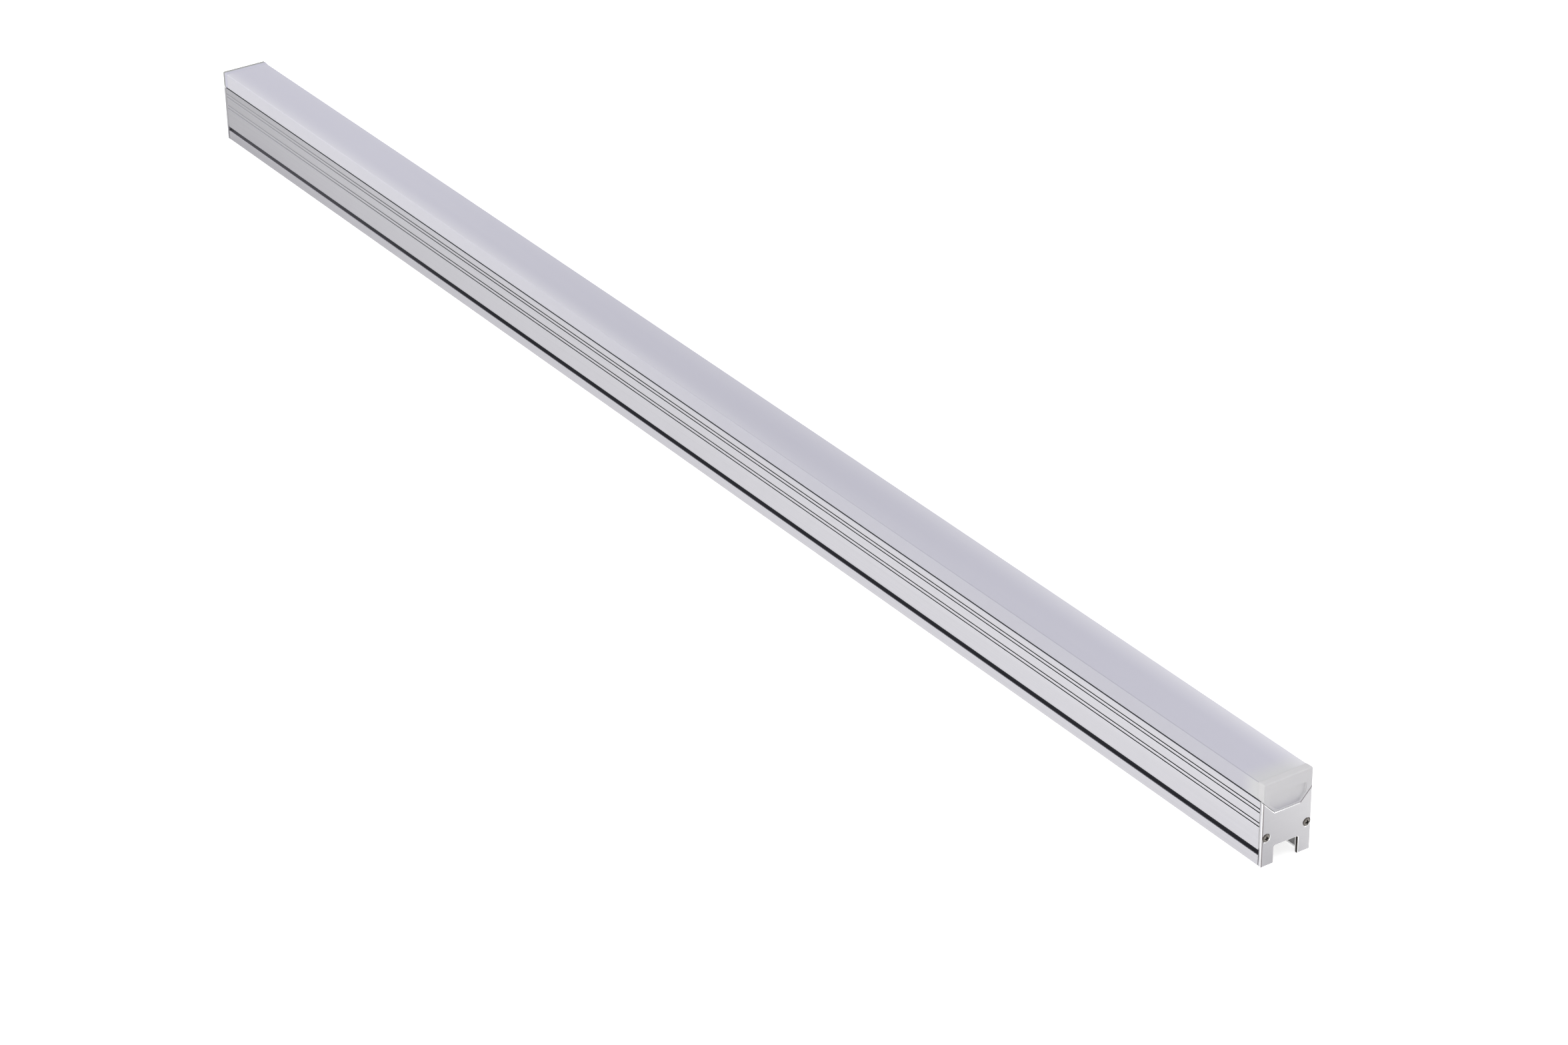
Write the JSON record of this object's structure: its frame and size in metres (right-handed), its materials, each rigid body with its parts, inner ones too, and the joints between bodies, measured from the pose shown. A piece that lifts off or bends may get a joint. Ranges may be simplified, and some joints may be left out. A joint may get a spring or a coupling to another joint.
{
  "type": "wall washer light",
  "caption": "Long slim wall washer light: an aluminium rail with an opal diffuser cover, plastic end caps and screwed end plates over its LED boards.",
  "frame": {"origin": "middle of the footprint, on the plane of the feet", "axes": "+X along the light to the end that is near in the picture, +Y across it, +Z from the feet to the cover"},
  "size_m": [1.001, 0.0286, 0.0442],
  "materials": {
    "anodised_aluminium": "natural anodised extrusion with faint die lines along X",
    "plate_aluminium": "smooth punched sheet, edges rounded, natural anodised",
    "opal_cover": "milky satin polycarbonate, faintly violet-grey",
    "cap_plastic": "fine satin moulded plastic, neutral pale grey",
    "silicone": "soft matt silicone",
    "screw_steel": "stainless steel, raised countersunk head",
    "thermal_tape": "matt grey thermal tape",
    "board_white": "white solder mask on an aluminium core",
    "led_package": "white frame with a yellow phosphor window",
    "chip_black": "black epoxy",
    "capacitor_can": "bright can on a black foot",
    "terminal_white": "white moulded plastic",
    "connector_plastic": "ivory moulded plastic",
    "grommet_rubber": "black rubber"
  },
  "bodies": {
    "root": {"housing_profile": "anodised_aluminium", "diffuser_cover": "opal_cover", "cover_seal_left": "silicone", "cover_seal_right": "silicone", "link_plug": "connector_plastic", "end_cap_near": "cap_plastic", "end_cap_far": "cap_plastic", "end_plate_near": "plate_aluminium", "end_plate_far": "plate_aluminium", "end_gasket_near": "silicone", "end_gasket_far": "silicone", "plate_screws_near": "screw_steel", "plate_screws_far": "screw_steel", "thermal_tape_near": "thermal_tape", "thermal_tape_far": "thermal_tape", "led_board_near": "board_white", "led_board_far": "board_white", "led_packages_near": "led_package", "led_packages_far": "led_package", "driver_chips_near": "chip_black", "driver_chips_far": "chip_black", "chip_resistors_near": "chip_black", "chip_resistors_far": "chip_black", "input_capacitor_near": "capacitor_can", "input_capacitor_far": "capacitor_can", "wire_terminal_near": "terminal_white", "wire_terminal_far": "terminal_white", "link_socket_near": "connector_plastic", "link_socket_far": "connector_plastic", "cable_grommet_near": "grommet_rubber", "cable_grommet_far": "grommet_rubber"}
  },
  "joints": []
}
